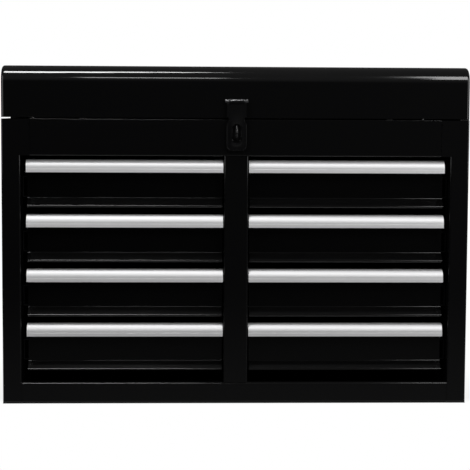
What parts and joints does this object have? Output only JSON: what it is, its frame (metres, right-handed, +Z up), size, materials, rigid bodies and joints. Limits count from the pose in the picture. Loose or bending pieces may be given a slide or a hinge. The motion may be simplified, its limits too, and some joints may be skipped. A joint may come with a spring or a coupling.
{
  "type": "top tool chest",
  "caption": "Free-standing steel tool chest with a hinged lid over a tool compartment, a hasp and staple, and two columns of shallow drawers with full-width pulls.",
  "frame": {"origin": "middle of the chest's footprint, on the surface that it stands on", "axes": "+X to the right as seen from the front, +Y from the drawer fronts to the back, +Z up"},
  "size_m": [0.61, 0.326, 0.442],
  "materials": {
    "case_paint": "gloss black enamel",
    "lid_paint": "gloss black enamel",
    "drawer_paint": "gloss black enamel",
    "hinge_paint": "black enamel over a rolled steel hinge",
    "pull_aluminium": "satin anodised, drawn lengthwise",
    "slide_zinc": "bright zinc plate",
    "cage_steel": "plain pressed steel",
    "stay_zinc": "zinc plate",
    "hasp_black": "glossy black plate",
    "pin_steel": "drawn bright steel",
    "bumper_rubber": "black rubber"
  },
  "bodies": {
    "cabinet": {"left_side_panel": "case_paint", "right_side_panel": "case_paint", "back_panel": "case_paint", "bottom_pan": "case_paint", "top_front_rail": "case_paint", "till_floor": "case_paint", "centre_partition": "case_paint", "centre_post": "case_paint", "slide_uprights": "slide_zinc", "cabinet_rails": "slide_zinc", "hinge_body_leaf": "hinge_paint", "hinge_pin": "pin_steel", "hasp_staple": "hasp_black", "stay_guides": "stay_zinc", "lid_bumpers": "bumper_rubber"},
    "lid": {"lid_shell": "lid_paint", "hinge_lid_leaf": "hinge_paint", "stay_pivots": "stay_zinc", "hasp_mount": "hasp_black", "hasp_pin": "pin_steel"},
    "hasp": {"hasp_leaf": "hasp_black"},
    "lid_stay_left": {"lid_stay_left": "stay_zinc"},
    "lid_stay_right": {"lid_stay_right": "stay_zinc"},
    "drawer_1": {"drawer_1_tray": "drawer_paint", "drawer_1_pull": "pull_aluminium", "drawer_1_rails": "slide_zinc"},
    "ball_cages_1": {"drawer_1_ball_cages": "cage_steel"},
    "drawer_2": {"drawer_2_tray": "drawer_paint", "drawer_2_pull": "pull_aluminium", "drawer_2_rails": "slide_zinc"},
    "ball_cages_2": {"drawer_2_ball_cages": "cage_steel"},
    "drawer_3": {"drawer_3_tray": "drawer_paint", "drawer_3_pull": "pull_aluminium", "drawer_3_rails": "slide_zinc"},
    "ball_cages_3": {"drawer_3_ball_cages": "cage_steel"},
    "drawer_4": {"drawer_4_tray": "drawer_paint", "drawer_4_pull": "pull_aluminium", "drawer_4_rails": "slide_zinc"},
    "ball_cages_4": {"drawer_4_ball_cages": "cage_steel"},
    "drawer_5": {"drawer_5_tray": "drawer_paint", "drawer_5_pull": "pull_aluminium", "drawer_5_rails": "slide_zinc"},
    "ball_cages_5": {"drawer_5_ball_cages": "cage_steel"},
    "drawer_6": {"drawer_6_tray": "drawer_paint", "drawer_6_pull": "pull_aluminium", "drawer_6_rails": "slide_zinc"},
    "ball_cages_6": {"drawer_6_ball_cages": "cage_steel"},
    "drawer_7": {"drawer_7_tray": "drawer_paint", "drawer_7_pull": "pull_aluminium", "drawer_7_rails": "slide_zinc"},
    "ball_cages_7": {"drawer_7_ball_cages": "cage_steel"},
    "drawer_8": {"drawer_8_tray": "drawer_paint", "drawer_8_pull": "pull_aluminium", "drawer_8_rails": "slide_zinc"},
    "ball_cages_8": {"drawer_8_ball_cages": "cage_steel"}
  },
  "joints": [
    {"name": "lid_hinge", "type": "hinge", "parent": "cabinet", "child": "lid", "pos_m": [0, 0.16005, 0.374], "axis": [-1, 0, 0], "range_deg": [0, 97]},
    {"name": "hasp_swing", "type": "hinge", "parent": "lid", "child": "hasp", "pos_m": [0, -0.15055, 0.397], "axis": [-1, 0, 0], "range_deg": [0, 170]},
    {"name": "lid_stay_left_turn", "type": "hinge", "parent": "lid", "child": "lid_stay_left", "pos_m": [-0.2901, 0.10105, 0.384], "axis": [1, 0, 0], "range_deg": [0, 114.6]},
    {"name": "lid_stay_right_turn", "type": "hinge", "parent": "lid", "child": "lid_stay_right", "pos_m": [0.2901, 0.10105, 0.384], "axis": [1, 0, 0], "range_deg": [0, 114.6]},
    {"name": "drawer_1_slide", "type": "slide", "parent": "cabinet", "child": "drawer_1", "axis": [0, -1, 0], "range_m": [0, 0.19]},
    {"name": "ball_cages_1_roll", "type": "slide", "parent": "cabinet", "child": "ball_cages_1", "axis": [0, -1, 0], "range_m": [0, 0.095]},
    {"name": "drawer_2_slide", "type": "slide", "parent": "cabinet", "child": "drawer_2", "axis": [0, -1, 0], "range_m": [0, 0.19]},
    {"name": "ball_cages_2_roll", "type": "slide", "parent": "cabinet", "child": "ball_cages_2", "axis": [0, -1, 0], "range_m": [0, 0.095]},
    {"name": "drawer_3_slide", "type": "slide", "parent": "cabinet", "child": "drawer_3", "axis": [0, -1, 0], "range_m": [0, 0.19]},
    {"name": "ball_cages_3_roll", "type": "slide", "parent": "cabinet", "child": "ball_cages_3", "axis": [0, -1, 0], "range_m": [0, 0.095]},
    {"name": "drawer_4_slide", "type": "slide", "parent": "cabinet", "child": "drawer_4", "axis": [0, -1, 0], "range_m": [0, 0.19]},
    {"name": "ball_cages_4_roll", "type": "slide", "parent": "cabinet", "child": "ball_cages_4", "axis": [0, -1, 0], "range_m": [0, 0.095]},
    {"name": "drawer_5_slide", "type": "slide", "parent": "cabinet", "child": "drawer_5", "axis": [0, -1, 0], "range_m": [0, 0.19]},
    {"name": "ball_cages_5_roll", "type": "slide", "parent": "cabinet", "child": "ball_cages_5", "axis": [0, -1, 0], "range_m": [0, 0.095]},
    {"name": "drawer_6_slide", "type": "slide", "parent": "cabinet", "child": "drawer_6", "axis": [0, -1, 0], "range_m": [0, 0.19]},
    {"name": "ball_cages_6_roll", "type": "slide", "parent": "cabinet", "child": "ball_cages_6", "axis": [0, -1, 0], "range_m": [0, 0.095]},
    {"name": "drawer_7_slide", "type": "slide", "parent": "cabinet", "child": "drawer_7", "axis": [0, -1, 0], "range_m": [0, 0.19]},
    {"name": "ball_cages_7_roll", "type": "slide", "parent": "cabinet", "child": "ball_cages_7", "axis": [0, -1, 0], "range_m": [0, 0.095]},
    {"name": "drawer_8_slide", "type": "slide", "parent": "cabinet", "child": "drawer_8", "axis": [0, -1, 0], "range_m": [0, 0.19]},
    {"name": "ball_cages_8_roll", "type": "slide", "parent": "cabinet", "child": "ball_cages_8", "axis": [0, -1, 0], "range_m": [0, 0.095]}
  ],
  "couplings": [
    {"joint": "lid_stay_left_turn", "follows": "lid_hinge", "ratio": 1.18},
    {"joint": "lid_stay_right_turn", "follows": "lid_hinge", "ratio": 1.18},
    {"joint": "ball_cages_1_roll", "follows": "drawer_1_slide", "ratio": 0.5},
    {"joint": "ball_cages_2_roll", "follows": "drawer_2_slide", "ratio": 0.5},
    {"joint": "ball_cages_3_roll", "follows": "drawer_3_slide", "ratio": 0.5},
    {"joint": "ball_cages_4_roll", "follows": "drawer_4_slide", "ratio": 0.5},
    {"joint": "ball_cages_5_roll", "follows": "drawer_5_slide", "ratio": 0.5},
    {"joint": "ball_cages_6_roll", "follows": "drawer_6_slide", "ratio": 0.5},
    {"joint": "ball_cages_7_roll", "follows": "drawer_7_slide", "ratio": 0.5},
    {"joint": "ball_cages_8_roll", "follows": "drawer_8_slide", "ratio": 0.5}
  ]
}
